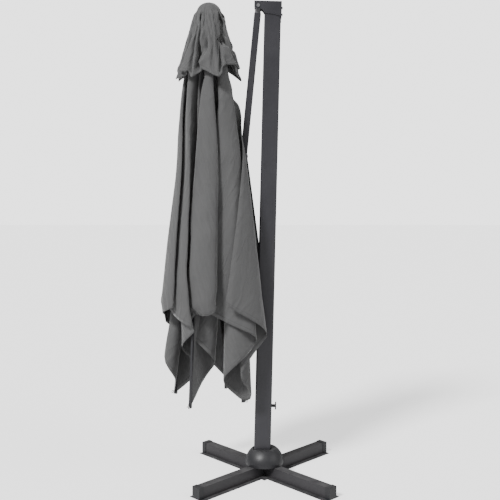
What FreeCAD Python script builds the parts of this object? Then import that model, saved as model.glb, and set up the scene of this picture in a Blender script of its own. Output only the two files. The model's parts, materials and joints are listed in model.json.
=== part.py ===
"""Cantilever parasol, folded, on a four-armed cross base.

Units are millimetres.  +Z is up, the origin is on the floor under the hub of the base,
and the folded canopy hangs on the -X side of the mast.  The mast leans a little away
from the canopy, so its parts are built in a mast frame (x across, z along the tube)
and then leaned about the foot point.
"""
import FreeCAD
import Part
import math
import os

V = FreeCAD.Vector
Y_AXIS = V(0, 1, 0)
Z_AXIS = V(0, 0, 1)

# ---- cross base --------------------------------------------------------------------
ARM_REACH = 500.0
BAR_WIDTH = 50.0
BAR_HEIGHT = 62.0
BAR_WALL = 2.5
FLANGE_WIDTH = 25.0
FLANGE_START = 74.0
PLATE_HALF = 72.5
PLATE_THICK = 3.0
HUB_RADIUS = 95.0
HUB_THICK = 6.0
BOLT_CIRCLE = 58.0
POST_RADIUS = 25.0
POST_WALL = 3.0
POST_TOP = 450.0
THRUST_RADIUS = 38.0
THRUST_THICK = 8.0
CAP_LENGTH = 28.0
CAP_WALL = 2.5
CAP_GAP = 0.2
RUN_GAP = 0.08          # radial clearance of every turning fit

# ---- mast --------------------------------------------------------------------------
FOOT_X = -15.2
LEAN = 1.366            # degrees, away from the canopy
MAST_WIDTH = 93.4
MAST_DEPTH = 60.0
MAST_WALL = 2.5
MAST_CORNER = 9.0
MAST_BOTTOM = 78.0
MAST_TOP = 2640.0
SLOT_HALF = 13.0
SLOT_LOW = 970.0
SLOT_HIGH = 1960.0
DOME_RADIUS = 107.0
DOME_TOP = 146.0
DOME_SHOULDER = 66.0
CLAMP_Z = 383.0

# ---- linkage, in the mast frame ----------------------------------------------------
STRUT_LENGTH = 845.0
STRUT_ANGLE = 4.2
BOOM_LENGTH = 940.0
BOOM_ANGLE = 8.9
STRUT_TOP = (-81.5, 2622.0)
HANGER = (-312.0, 2463.0)      # canopy hanger pin, in the object frame
STRUT_WIDTH = 37.5
STRUT_DEPTH = 34.0
BOOM_WIDTH = 40.0
LOWER_DEPTH = 22.0
UPPER_DEPTH = 24.0
BOOM_WALL = 2.0
PIN_RADIUS = 6.0

# ---- hoist -------------------------------------------------------------------------
CRANK_Z = 720.0
ARM_LENGTH = 150.0
CABLE_X = 30.0
CABLE_RADIUS = 1.5
PULLEY_Y = 2.0
PULLEY_Z = 2540.0
PULLEY_RADIUS = 18.0
DRUM_RADIUS = 28.5

# ---- canopy ------------------------------------------------------------------------
FIRST_RIB = 21.0        # azimuth of the first middle rib, degrees
RIB_COUNT = 8
HINGE_RADIUS = 50.0
HINGE_Z = 2565.0
RIB_SPLAY = 4.4
CORNER_RIB = 2142.0
MIDDLE_RIB = 1569.0
RIB_WIDTH = 12.0
RIB_DEPTH = 14.0
STRETCHER_REACH = 420.0
RUNNER_Z = 1717.0
CROWN_LOW = 2552.0
CROWN_HIGH = 2572.0
POLE_RADIUS = 13.0
POLE_LOW = 1660.0
POLE_HIGH = 2298.0
CLOTH_WALL = 8.0
BOOM_SLIT = 23.0        # half width of the opening that the boom hangs in
# outer radius of the bundle against height
BUNDLE = ((2598, 52), (2572, 73), (2490, 98), (2320, 141), (2210, 159), (2100, 176),
          (1800, 200), (1550, 215), (1250, 250), (1000, 280))
TIP_Z = 410.0
TIP_RADIUS = 247.0
# hanging corner of the cloth: height, radius, half width in degrees, thickness
TAIL = ((1040, 262, 20, 26), (740, 256, 16.5, 20), (560, 251, 10, 14), (TIP_Z, TIP_RADIUS, 3.5, 9))
VENT = ((2622, 38), (2610, 60), (2583, 81), (2490, 108), (2380, 136), (2300, 158), (2215, 177))


# ---- shared shapes -----------------------------------------------------------------
def box(x0, x1, y0, y1, z0, z1):
    """A box between two corners."""
    return Part.makeBox(x1 - x0, y1 - y0, z1 - z0, V(x0, y0, z0))


def rod(radius, start, end):
    """A round bar between two points."""
    a = V(*start)
    b = V(*end)
    return Part.makeCylinder(radius, (b - a).Length, a, b - a)


def ring(outer, inner, start, end):
    """A round tube between two points."""
    return rod(outer, start, end).cut(rod(inner, start, end))


def rounded_bar(width, depth, corner, z0, z1):
    """A bar along Z with rounded long edges."""
    bar = box(-width / 2, width / 2, -depth / 2, depth / 2, z0, z1)
    upright = [e for e in bar.Edges if abs(e.Vertexes[0].Z - e.Vertexes[1].Z) > 1.0]
    return bar.makeFillet(corner, upright)


def rounded_tube(width, depth, wall, corner, z0, z1):
    """A rectangular tube along Z with rounded corners."""
    outer = rounded_bar(width, depth, corner, z0, z1)
    inner = rounded_bar(width - 2 * wall, depth - 2 * wall, corner - wall, z0 - 1, z1 + 1)
    return outer.cut(inner)


def hexagon(radius, z0, z1):
    """A hexagonal head or nut, radius over its corners."""
    points = [V(radius * math.cos(k * math.pi / 3), radius * math.sin(k * math.pi / 3), z0)
              for k in range(7)]
    return Part.Face(Part.makePolygon(points)).extrude(V(0, 0, z1 - z0))


def outline_plate(points, y0, y1):
    """A plate in the XZ plane, given by its outline, between two Y faces."""
    corners = [V(x, y0, z) for x, z in points]
    return Part.Face(Part.makePolygon(corners + corners[:1])).extrude(V(0, y1 - y0, 0))


def lean(shape):
    """Move a shape from the mast frame to the object frame."""
    shape = shape.copy()
    shape.translate(V(FOOT_X, 0, 0))
    shape.rotate(V(FOOT_X, 0, 0), Y_AXIS, LEAN)
    return shape


def to_mast(x, z):
    """A point of the object frame in the mast frame."""
    t = math.radians(LEAN)
    dx = x - FOOT_X
    return (dx * math.cos(t) - z * math.sin(t), dx * math.sin(t) + z * math.cos(t))


def aim(shape, start, end):
    """Turn a shape built up +Z so that it stands at start and points to end."""
    shape = shape.copy()
    shape.rotate(V(0, 0, 0), Y_AXIS, math.degrees(math.atan2(end[0] - start[0], end[1] - start[1])))
    shape.translate(V(start[0], 0, start[1]))
    return shape


def turned(shape, angle, centre_x=0.0):
    """A copy of a shape turned about a vertical axis."""
    shape = shape.copy()
    shape.rotate(V(centre_x, 0, 0), Z_AXIS, angle)
    return shape


def polar(start, length, angle):
    """The point at a length and angle from straight down, towards -X for a negative angle."""
    a = math.radians(angle)
    return (start[0] + length * math.sin(a), start[1] - length * math.cos(a))


def save(name, shape):
    """Write one node."""
    shape.exportStep("parts/" + name + ".step")


KNUCKLE = polar(STRUT_TOP, STRUT_LENGTH, -STRUT_ANGLE)
FOOT = polar(KNUCKLE, BOOM_LENGTH, BOOM_ANGLE)
HEAD = to_mast(*HANGER)
UPPER_LENGTH = math.dist(KNUCKLE, HEAD)


# ---- base --------------------------------------------------------------------------
def bar(u0, u1):
    """A hat-section bar along X: an upside-down channel with a flange along each side."""
    half = BAR_WIDTH / 2
    channel = box(u0, u1, -half, half, 0, BAR_HEIGHT)
    channel = channel.cut(box(u0 - 1, u1 + 1, -half + BAR_WALL, half - BAR_WALL, -1, BAR_HEIGHT - BAR_WALL))
    for side in (-1, 1):
        y0, y1 = sorted((side * half, side * (half + FLANGE_WIDTH)))
        for a, b in ((u0, -FLANGE_START), (FLANGE_START, u1)):
            if b > a:
                channel = channel.fuse(box(a, b, y0, y1, 0, BAR_WALL))
        n0, n1 = sorted((side * half, side * (half + CAP_WALL + CAP_GAP)))
        for end in (-1, 1):
            x0, x1 = sorted((end * ARM_REACH, end * (ARM_REACH - CAP_LENGTH - CAP_GAP)))
            channel = channel.cut(box(x0, x1, n0, n1, -1, BAR_WALL + 1))
    channel = channel.cut(box(-PLATE_HALF - 0.3, PLATE_HALF + 0.3, -90, 90, -1, PLATE_THICK))
    for place in (-BOLT_CIRCLE, BOLT_CIRCLE):
        channel = channel.cut(rod(5.5, (place, 0, 40), (place, 0, 70)))
    return channel.removeSplitter()


def long_bar():
    return turned(bar(-ARM_REACH, ARM_REACH), 45)


def cross_bars():
    start = BAR_WIDTH / 2 + 0.4
    return Part.makeCompound([turned(bar(start, ARM_REACH), angle) for angle in (-45, 135)])


def end_cap():
    """A plastic sleeve over the end of an arm, closed at its tip."""
    half = BAR_WIDTH / 2
    x0 = ARM_REACH - CAP_LENGTH
    x1 = ARM_REACH + CAP_WALL
    shell = box(x0, x1, -half - CAP_WALL, half + CAP_WALL, BAR_WALL + 0.2, BAR_HEIGHT + CAP_WALL)
    rounded = [e for e in shell.Edges if min(v.Z for v in e.Vertexes) > BAR_HEIGHT]
    shell = shell.makeFillet(2.0, rounded)
    shell = shell.cut(box(x0 - 1, ARM_REACH, -half, half, 0, BAR_HEIGHT))
    plug = box(x0, ARM_REACH, -half + BAR_WALL, half - BAR_WALL, BAR_WALL + 0.2, BAR_HEIGHT - BAR_WALL)
    hollow = box(x0 - 1, ARM_REACH - 2, -half + 6, half - 6, BAR_WALL - 1, BAR_HEIGHT - 6)
    return shell.fuse(plug.cut(hollow)).removeSplitter()


def end_caps():
    return Part.makeCompound([turned(end_cap(), angle) for angle in (45, 135, 225, 315)])


def around_bolts(shape_at_zero):
    """Four copies, one on each arm."""
    shape_at_zero.translate(V(BOLT_CIRCLE, 0, 0))
    return [turned(shape_at_zero, angle) for angle in (45, 135, 225, 315)]


def under_plate():
    plate = box(-PLATE_HALF, PLATE_HALF, -PLATE_HALF, PLATE_HALF, 0, PLATE_THICK)
    plate = turned(plate, 45)
    for hole in around_bolts(rod(5.5, (0, 0, -1), (0, 0, 5))):
        plate = plate.cut(hole)
    return plate


def hub_plate():
    plate = rod(HUB_RADIUS, (0, 0, BAR_HEIGHT), (0, 0, BAR_HEIGHT + HUB_THICK))
    for hole in around_bolts(rod(5.5, (0, 0, 50), (0, 0, 80))):
        plate = plate.cut(hole)
    return plate


def base_bolts():
    top = BAR_HEIGHT + HUB_THICK
    bolt = rod(5, (0, 0, 0.6), (0, 0, top)).fuse(hexagon(8.5, top, top + 6.4))
    return Part.makeCompound(around_bolts(bolt))


def base_nuts():
    nut = hexagon(9.2, PLATE_THICK, PLATE_THICK + 8).cut(rod(5, (0, 0, 0), (0, 0, 20)))
    return Part.makeCompound(around_bolts(nut))


def post_tube():
    return ring(POST_RADIUS, POST_RADIUS - POST_WALL, (0, 0, BAR_HEIGHT + HUB_THICK), (0, 0, POST_TOP))


def thrust_ring():
    low = BAR_HEIGHT + HUB_THICK
    return ring(THRUST_RADIUS, POST_RADIUS, (0, 0, low), (0, 0, low + THRUST_THICK))


# ---- mast --------------------------------------------------------------------------
def mast_tube():
    tube = rounded_tube(MAST_WIDTH, MAST_DEPTH, MAST_WALL, MAST_CORNER, MAST_BOTTOM, MAST_TOP)
    slot = box(-MAST_WIDTH / 2 - 1, -MAST_WIDTH / 2 + 6, -SLOT_HALF, SLOT_HALF, SLOT_LOW, SLOT_HIGH)
    tube = tube.cut(slot)
    tube = tube.cut(rod(17, (0, 20, CRANK_Z), (0, 40, CRANK_Z)))
    tube = tube.cut(rod(8.5, (30, 0, CLAMP_Z), (60, 0, CLAMP_Z)))
    for z in BRACKET_BOLTS:
        tube = tube.cut(rod(4, (30, 0, z), (60, 0, z)))
    tube = tube.cut(rod(4, (30, PULLEY_Y, PULLEY_Z), (60, PULLEY_Y, PULLEY_Z)))
    return lean(tube)


BRACKET_BOLTS = (2577.0, 2616.0)


def swivel_bushes():
    """Two blocks that fill the mast round the post: square outside, bored upright."""
    blocks = []
    inner_width = MAST_WIDTH - 2 * MAST_WALL
    inner_depth = MAST_DEPTH - 2 * MAST_WALL
    bore = rod(POST_RADIUS + RUN_GAP, (0, 0, 50), (0, 0, 600))
    for z0, z1 in ((MAST_BOTTOM, 150.0), (400.0, 446.0)):
        block = rounded_bar(inner_width, inner_depth, MAST_CORNER - MAST_WALL, z0, z1)
        blocks.append(lean(block).cut(bore))
    return Part.makeCompound(blocks)


def dome_profile(inset):
    """The dome turned about Z: a short wall, a round shoulder and a flat top."""
    foot = V(DOME_RADIUS - 1 - inset, 0, 63.2)
    wall = V(DOME_RADIUS - inset, 0, 78)
    bulge = V(DOME_RADIUS - 14 - inset * 0.8, 0, 118 - inset * 0.6)
    shoulder = V(DOME_SHOULDER + 6 - inset * 0.5, 0, DOME_TOP - 4 - inset)
    edge = V(DOME_SHOULDER, 0, DOME_TOP - inset)
    top = V(0, 0, DOME_TOP - inset)
    base = V(0, 0, 63.2)
    edges = [Part.LineSegment(foot, wall).toShape(),
             Part.Arc(wall, bulge, shoulder).toShape(),
             Part.LineSegment(shoulder, edge).toShape(),
             Part.LineSegment(edge, top).toShape(),
             Part.LineSegment(top, base).toShape(),
             Part.LineSegment(base, foot).toShape()]
    return Part.Face(Part.Wire(edges)).revolve(V(0, 0, 0), Z_AXIS, 360)


def dome_cover():
    """The foot cover, which turns with the mast and clears it by a few millimetres."""
    opening = rounded_bar(MAST_WIDTH + 8, MAST_DEPTH + 8, MAST_CORNER, 80, 200)
    return dome_profile(0).cut(dome_profile(2.5)).cut(lean(opening))


def top_bracket():
    """A cast cap over the mast head, with two cheeks that carry the strut pin."""
    side = ((-104, 2648), (50, 2648), (50, 2556), (44, 2556), (44, 2566), (-8, 2577), (-44, 2579),
            (-58, 2598), (-70, 2605), (-96, 2604), (-104, 2612))
    inner = MAST_DEPTH / 2
    body = outline_plate(side, -inner - 4, inner + 4)
    body = body.cut(box(-110, MAST_WIDTH / 2, -inner, inner, 2500, 2643))
    body = body.cut(rod(PIN_RADIUS, (STRUT_TOP[0], -50, STRUT_TOP[1]), (STRUT_TOP[0], 50, STRUT_TOP[1])))
    for z in BRACKET_BOLTS:
        body = body.cut(rod(4, (30, 0, z), (60, 0, z)))
    return lean(body)


def bracket_bolts():
    bolts = []
    for z in BRACKET_BOLTS:
        head = rod(7, (50, 0, z), (56, 0, z))
        bolts.append(lean(rod(4, (36, 0, z), (50, 0, z)).fuse(head)))
    return Part.makeCompound(bolts)


def strut_pin():
    x, z = STRUT_TOP
    outer = MAST_DEPTH / 2 + 4
    pin = rod(PIN_RADIUS, (x, -outer, z), (x, outer, z))
    head = rod(10, (x, -outer - 4, z), (x, -outer, z))
    clip = rod(9, (x, outer, z), (x, outer + 3, z))
    return lean(pin.fuse(head).fuse(clip))


def pulley_plate():
    """The inner bearing plate of the head pulley, held across the mast tube."""
    inner = MAST_DEPTH / 2 - MAST_WALL
    plate = box(14, 17, -inner, inner, PULLEY_Z - 30, PULLEY_Z + 40)
    return lean(plate.cut(rod(4, (0, PULLEY_Y, PULLEY_Z), (40, PULLEY_Y, PULLEY_Z))))


def pulley_pin():
    pin = rod(4, (12, PULLEY_Y, PULLEY_Z), (MAST_WIDTH / 2, PULLEY_Y, PULLEY_Z))
    head = rod(6.5, (MAST_WIDTH / 2, PULLEY_Y, PULLEY_Z), (MAST_WIDTH / 2 + 2, PULLEY_Y, PULLEY_Z))
    return lean(pin.fuse(head))


def head_pulley():
    axis = ((24, PULLEY_Y, PULLEY_Z), (36, PULLEY_Y, PULLEY_Z))
    wheel = ring(21, 4 + RUN_GAP, *axis)
    groove = Part.makeTorus(PULLEY_RADIUS + 0.9, 2.6, V(CABLE_X, PULLEY_Y, PULLEY_Z), V(1, 0, 0))
    return lean(wheel.cut(groove))


def cable_return():
    """The cable from the top of the head pulley down to the winding drum."""
    y = PULLEY_Y + PULLEY_RADIUS
    run = rod(CABLE_RADIUS, (CABLE_X, y, CRANK_Z + 16), (CABLE_X, y, PULLEY_Z))
    bend = Part.makeTorus(PULLEY_RADIUS, CABLE_RADIUS, V(CABLE_X, PULLEY_Y, PULLEY_Z), V(1, 0, 0))
    bend = bend.common(box(0, 60, -60, 60, PULLEY_Z, PULLEY_Z + 60))
    return lean(run.fuse(bend))


def cable_fall():
    """The cable from the head pulley down to the carriage."""
    y = PULLEY_Y - PULLEY_RADIUS
    return lean(rod(CABLE_RADIUS, (CABLE_X, y, FOOT[1] + 35), (CABLE_X, y, PULLEY_Z)))


def clamp_insert():
    insert = ring(8.5, 5 + RUN_GAP, (40, 0, CLAMP_Z), (MAST_WIDTH / 2, 0, CLAMP_Z))
    return lean(insert)


def crank_housing():
    """A rounded plastic box on the back of the mast, open towards the tube."""
    back = MAST_DEPTH / 2
    shell = box(-37, 37, back, back + 30, CRANK_Z - 55, CRANK_Z + 55)
    outer_edges = [e for e in shell.Edges if max(v.Y for v in e.Vertexes) > back + 29]
    shell = shell.makeFillet(7.0, outer_edges)
    shell = shell.cut(box(-33, 33, back - 1, back + 26, CRANK_Z - 51, CRANK_Z + 51))
    shell = shell.cut(rod(12, (0, back, CRANK_Z), (0, back + 40, CRANK_Z)))
    return lean(shell)


def crank_bush():
    back = MAST_DEPTH / 2
    collar = ring(12, 8 + RUN_GAP, (0, back + 26, CRANK_Z), (0, back + 30, CRANK_Z))
    flange = ring(15, 8 + RUN_GAP, (0, back + 30, CRANK_Z), (0, back + 32, CRANK_Z))
    return lean(collar.fuse(flange))


# ---- clamp knob and crank ----------------------------------------------------------
def clamp_pad():
    return lean(rod(7, (31.6, 0, CLAMP_Z), (35, 0, CLAMP_Z)))


def clamp_screw():
    return lean(rod(5, (35.1, 0, CLAMP_Z), (60, 0, CLAMP_Z)))


def clamp_knob():
    hub = rod(8.5, (MAST_WIDTH / 2 + 0.6, 0, CLAMP_Z), (65, 0, CLAMP_Z))
    grip = rod(21.5, (65, 0, CLAMP_Z), (72, 0, CLAMP_Z))
    grip = grip.makeFillet(2.0, grip.Edges)
    for k in range(8):
        a = k * math.pi / 4
        y = 25.5 * math.cos(a)
        z = CLAMP_Z + 25.5 * math.sin(a)
        grip = grip.cut(rod(6, (60, y, z), (80, y, z)))
    return lean(hub.fuse(grip).cut(rod(5, (30, 0, CLAMP_Z), (60, 0, CLAMP_Z))))


def crank_shaft():
    return lean(rod(8, (0, -22, CRANK_Z), (0, 76, CRANK_Z)))


def cable_drum():
    core = rod(DRUM_RADIUS, (0, -18, CRANK_Z), (0, 24, CRANK_Z))
    inner_rim = rod(35, (0, -20, CRANK_Z), (0, -18, CRANK_Z))
    outer_rim = rod(35, (0, 24, CRANK_Z), (0, 26, CRANK_Z))
    drum = core.fuse(inner_rim).fuse(outer_rim)
    return lean(drum.cut(rod(8, (0, -30, CRANK_Z), (0, 30, CRANK_Z))))


def drum_winding():
    """The turns of cable that stay on the drum while the canopy is down."""
    turns = []
    for k in range(3):
        centre = V(0, PULLEY_Y + PULLEY_RADIUS - 3.4 * k, CRANK_Z)
        turns.append(lean(Part.makeTorus(DRUM_RADIUS + CABLE_RADIUS, CABLE_RADIUS, centre, Y_AXIS)))
    return Part.makeCompound(turns)


def crank_arm():
    """The arm with its boss on the shaft and the riveted spindle of the grip."""
    low = CRANK_Z - ARM_LENGTH
    arm = box(-10, 10, 66, 73, low, CRANK_Z)
    arm = arm.fuse(rod(13, (0, 64, CRANK_Z), (0, 75, CRANK_Z)))
    arm = arm.fuse(rod(10, (0, 66, low), (0, 73, low)))
    arm = arm.cut(rod(8, (0, 50, CRANK_Z), (0, 90, CRANK_Z)))
    arm = arm.fuse(rod(5, (0, 66, low), (0, 158, low)))
    return lean(arm.fuse(rod(8, (0, 158, low), (0, 161, low))))


def crank_grip():
    """A barrel grip, thickest in the middle."""
    low = CRANK_Z - ARM_LENGTH
    profile = [V(5 + RUN_GAP, 76, 0), V(11, 76, 0), V(14.5, 112, 0), V(12, 155, 0), V(5 + RUN_GAP, 155, 0)]
    curve = Part.Arc(profile[1], profile[2], profile[3]).toShape()
    sides = [Part.LineSegment(a, b).toShape() for a, b in
             ((profile[0], profile[1]), (profile[3], profile[4]), (profile[4], profile[0]))]
    wire = Part.Wire([sides[0], curve, sides[1], sides[2]])
    grip = Part.Face(wire).revolve(V(0, 0, 0), Y_AXIS, 360)
    grip.translate(V(0, 0, low))
    return lean(grip)


# ---- strut -------------------------------------------------------------------------
def strut_tube():
    """From the top eye down to the knuckle, slotted at its foot so the boom nests in it."""
    tube = rounded_tube(STRUT_WIDTH, STRUT_DEPTH, BOOM_WALL, 5, 18, STRUT_LENGTH - 40)
    tube = tube.cut(box(-30, 0, -13.5, 13.5, 0, 130))
    tube = tube.cut(box(0, 30, -13.5, 13.5, 0, 62))
    return lean(aim(tube, KNUCKLE, STRUT_TOP))


def strut_eye():
    width = STRUT_WIDTH - 2 * BOOM_WALL
    depth = STRUT_DEPTH - 2 * BOOM_WALL
    plug = rounded_bar(width, depth, 3, STRUT_LENGTH - 95, STRUT_LENGTH - 20)
    eye = rod(17, (0, -depth / 2, STRUT_LENGTH), (0, depth / 2, STRUT_LENGTH))
    neck = box(-13, 13, -depth / 2, depth / 2, STRUT_LENGTH - 40, STRUT_LENGTH)
    bore = rod(PIN_RADIUS + RUN_GAP, (0, -30, STRUT_LENGTH), (0, 30, STRUT_LENGTH))
    return lean(aim(plug.fuse(eye).fuse(neck).cut(bore), KNUCKLE, STRUT_TOP))


def strut_spacers():
    x, z = STRUT_TOP
    depth = STRUT_DEPTH / 2 - BOOM_WALL
    spacers = []
    for side in (-1, 1):
        ends = sorted((side * depth, side * (MAST_DEPTH / 2 - 0.4)))
        spacers.append(lean(ring(11, PIN_RADIUS + RUN_GAP, (x, ends[0], z), (x, ends[1], z))))
    return Part.makeCompound(spacers)


def strut_forks():
    """Two plates inside the slotted foot of the strut that take the knuckle pin."""
    plates = []
    for side in (-1, 1):
        y0, y1 = sorted((side * 12.5, side * (STRUT_DEPTH / 2 - BOOM_WALL)))
        plate = box(-12, 12, y0, y1, 0, 150)
        plate = plate.fuse(rod(18, (0, y0, 0), (0, y1, 0)))
        plate = plate.cut(rod(5, (0, y0 - 1, 0), (0, y1 + 1, 0)))
        plates.append(lean(aim(plate, KNUCKLE, STRUT_TOP)))
    return Part.makeCompound(plates)


def knuckle_pin():
    x, z = KNUCKLE
    pin = rod(5, (x, -16.5, z), (x, 16.5, z))
    pin = pin.fuse(rod(9, (x, -18.5, z), (x, -15, z)))
    return lean(pin.fuse(rod(9, (x, 15, z), (x, 17.5, z))))


# ---- boom --------------------------------------------------------------------------
def boom_knuckle():
    """The casting that joins both boom tubes at their bend and turns on the knuckle pin."""
    half = LOWER_DEPTH / 2
    hub = rod(24, (KNUCKLE[0], -half, KNUCKLE[1]), (KNUCKLE[0], half, KNUCKLE[1]))
    for end, depth in ((FOOT, LOWER_DEPTH), (HEAD, UPPER_DEPTH)):
        collar = rounded_bar(BOOM_WIDTH, LOWER_DEPTH, 4, 0, 45)
        inside = rounded_bar(BOOM_WIDTH - 2 * BOOM_WALL, depth - 2 * BOOM_WALL, 2, 40, 120)
        hub = hub.fuse(aim(collar.fuse(inside), KNUCKLE, end))
    bore = rod(5 + RUN_GAP, (KNUCKLE[0], -30, KNUCKLE[1]), (KNUCKLE[0], 30, KNUCKLE[1]))
    hub = hub.cut(bore)
    for end in (FOOT, HEAD):
        hub = hub.cut(aim(rod(3.5, (0, -20, 100), (0, 20, 100)), KNUCKLE, end))
    return lean(hub)


def boom_tube(depth, z0, z1, end):
    tube = rounded_tube(BOOM_WIDTH, depth, BOOM_WALL, 4, z0, z1)
    tube = tube.cut(rod(3.5, (0, -20, 100), (0, 20, 100)))
    return lean(aim(tube, KNUCKLE, end))


def lower_boom_tube():
    return boom_tube(LOWER_DEPTH, 45, BOOM_LENGTH - 32, FOOT)


def upper_boom_tube():
    return boom_tube(UPPER_DEPTH, 45, UPPER_LENGTH - 90, HEAD)


def knuckle_bolts():
    bolts = []
    for end, depth in ((FOOT, LOWER_DEPTH), (HEAD, UPPER_DEPTH)):
        bolt = rod(3.5, (0, -depth / 2, 100), (0, depth / 2, 100))
        for side in (-1, 1):
            ends = sorted((side * depth / 2, side * (depth / 2 + 2.5)))
            bolt = bolt.fuse(rod(6, (0, ends[0], 100), (0, ends[1], 100)))
        bolts.append(lean(aim(bolt, KNUCKLE, end)))
    return Part.makeCompound(bolts)


def boom_foot():
    """The eye at the lower end of the boom, inside the mast."""
    length = BOOM_LENGTH
    half = LOWER_DEPTH / 2
    eye = rod(18, (0, -half, length), (0, half, length))
    neck = rounded_bar(BOOM_WIDTH - 6, LOWER_DEPTH, 4, length - 32, length - 6)
    plug = rounded_bar(BOOM_WIDTH - 2 * BOOM_WALL, LOWER_DEPTH - 2 * BOOM_WALL, 2, length - 80, length - 20)
    bore = rod(PIN_RADIUS + RUN_GAP, (0, -30, length), (0, 30, length))
    return lean(aim(eye.fuse(neck).fuse(plug).cut(bore), KNUCKLE, FOOT))


def boom_head():
    """The eye at the upper end of the boom, between the yoke plates."""
    length = UPPER_LENGTH
    half = LOWER_DEPTH / 2
    eye = rod(16, (0, -half, length), (0, half, length))
    neck = rounded_bar(30, LOWER_DEPTH, 4, length - 90, length - 8)
    plug = rounded_bar(BOOM_WIDTH - 2 * BOOM_WALL, UPPER_DEPTH - 2 * BOOM_WALL, 2, length - 150, length - 84)
    bore = rod(PIN_RADIUS + RUN_GAP, (0, -30, length), (0, 30, length))
    return lean(aim(eye.fuse(neck).fuse(plug).cut(bore), KNUCKLE, HEAD))


# ---- carriage ----------------------------------------------------------------------
def carriage_block():
    """A forked block that runs up inside the mast and carries the foot of the boom."""
    z = FOOT[1]
    block = box(-36, 36, -24, 24, z - 50, z + 35)
    block = block.cut(box(-40, 40, -11.6, 11.6, z - 24, z + 40))
    block = block.cut(box(25, 40, 14, 30, z - 60, z + 40))
    return lean(block.cut(rod(PIN_RADIUS, (FOOT[0], -30, z), (FOOT[0], 30, z))))


def glide_pads():
    z0 = FOOT[1] - 45
    z1 = FOOT[1] + 30
    pads = [box(-30, 20, -26.8, -24, z0, z1),
            box(-30, 20, 24, 26.8, z0, z1),
            box(-42.2, -36, -22, -13.4, z0, z1),
            box(-42.2, -36, 13.4, 22, z0, z1),
            box(36, 42.2, -22, -11.8, z0, z1)]
    return lean(Part.makeCompound(pads))


def carriage_pin():
    return lean(rod(PIN_RADIUS, (FOOT[0], -24, FOOT[1]), (FOOT[0], 24, FOOT[1])))


# ---- canopy frame ------------------------------------------------------------------
def head_yoke():
    """Two plates astride the boom head, joined above it and below it."""
    x, z = HANGER
    parts = []
    for side in (-1, 1):
        y0, y1 = sorted((side * 12.5, side * 15.5))
        parts.append(box(x - 24, x + 24, y0, y1, z - 165, CROWN_LOW))
    yoke = parts[0].fuse(parts[1])
    yoke = yoke.fuse(box(x - 24, x + 24, -12.5, 12.5, z + 30, CROWN_LOW))
    yoke = yoke.fuse(box(x - 14, x + 12, -12.5, 12.5, POLE_HIGH, POLE_HIGH + 28))
    return yoke.cut(rod(PIN_RADIUS, (x, -30, z), (x, 30, z))).removeSplitter()


def head_pin():
    x, z = HANGER
    pin = rod(PIN_RADIUS, (x, -15.5, z), (x, 15.5, z))
    for side in (-1, 1):
        ends = sorted((side * 15.5, side * 18.5))
        pin = pin.fuse(rod(9, (x, ends[0], z), (x, ends[1], z)))
    return pin


def rib_azimuths(offset=0):
    """The azimuths of every second rib: 0 starts with a middle rib, 1 with a corner rib."""
    return [FIRST_RIB + 45 * (2 * k + offset) for k in range(RIB_COUNT // 2)]


ALL_RIBS = rib_azimuths(0) + rib_azimuths(1)


def around_pole(shape, azimuths):
    """Copies of a shape built on the +X side of a pole at x = 0, at each azimuth."""
    copies = []
    for angle in azimuths:
        piece = turned(shape, angle)
        piece.translate(V(HANGER[0], 0, 0))
        copies.append(piece)
    return Part.makeCompound(copies)


def on_rib(shape):
    """Put a shape built down -Z from its hinge onto the splayed line of a rib."""
    shape = shape.copy()
    shape.rotate(V(0, 0, 0), Y_AXIS, -RIB_SPLAY)
    shape.translate(V(HINGE_RADIUS, 0, HINGE_Z))
    return shape


def crown_hub():
    """The crown that the ribs hinge in, with one slot for each rib."""
    hub = rod(56, (0, 0, CROWN_LOW), (0, 0, CROWN_HIGH))
    hub = hub.makeChamfer(4, [hub.Edges[0]])
    for angle in ALL_RIBS:
        slot = box(38, 70, -RIB_WIDTH / 2 - 0.5, RIB_WIDTH / 2 + 0.5, CROWN_LOW - 1, CROWN_HIGH + 1)
        hub = hub.cut(turned(slot, angle))
    hub = hub.cut(around_pole_local(rod(2.5, (HINGE_RADIUS, -14, HINGE_Z), (HINGE_RADIUS, 14, HINGE_Z))))
    hub.translate(V(HANGER[0], 0, 0))
    return hub


def around_pole_local(shape):
    """The same copies, about x = 0."""
    return Part.makeCompound([turned(shape, angle) for angle in ALL_RIBS])


def rib_pins():
    pin = rod(2.5, (HINGE_RADIUS, -11, HINGE_Z), (HINGE_RADIUS, 11, HINGE_Z))
    return around_pole(pin, ALL_RIBS)


def rib(length):
    """A thin rectangular tube, hinged at its top."""
    w = RIB_WIDTH / 2
    d = RIB_DEPTH / 2
    tube = box(-d, d, -w, w, -length, -18).cut(box(-d + 1.2, d - 1.2, -w + 1.2, w - 1.2, -length - 1, -30))
    tongue = box(-5, 5, -w, w, -18, 0).fuse(rod(5, (0, -w, 0), (0, w, 0)))
    tongue = tongue.cut(rod(2.5, (0, -w - 1, 0), (0, w + 1, 0)))
    return on_rib(tube.fuse(tongue))


def corner_ribs():
    return around_pole(rib(CORNER_RIB), rib_azimuths(1))


def middle_ribs():
    return around_pole(rib(MIDDLE_RIB), rib_azimuths(0))


def rib_tip(length):
    d = RIB_DEPTH / 2
    w = RIB_WIDTH / 2
    cap = box(-d - 1.2, d + 1.2, -w - 1.2, w + 1.2, -length - 4, -length + 20)
    return on_rib(cap.cut(box(-d, d, -w, w, -length, 0)))


def rib_tips():
    corner = around_pole(rib_tip(CORNER_RIB), rib_azimuths(1))
    middle = around_pole(rib_tip(MIDDLE_RIB), rib_azimuths(0))
    return Part.makeCompound(list(corner.Solids) + list(middle.Solids))


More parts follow.
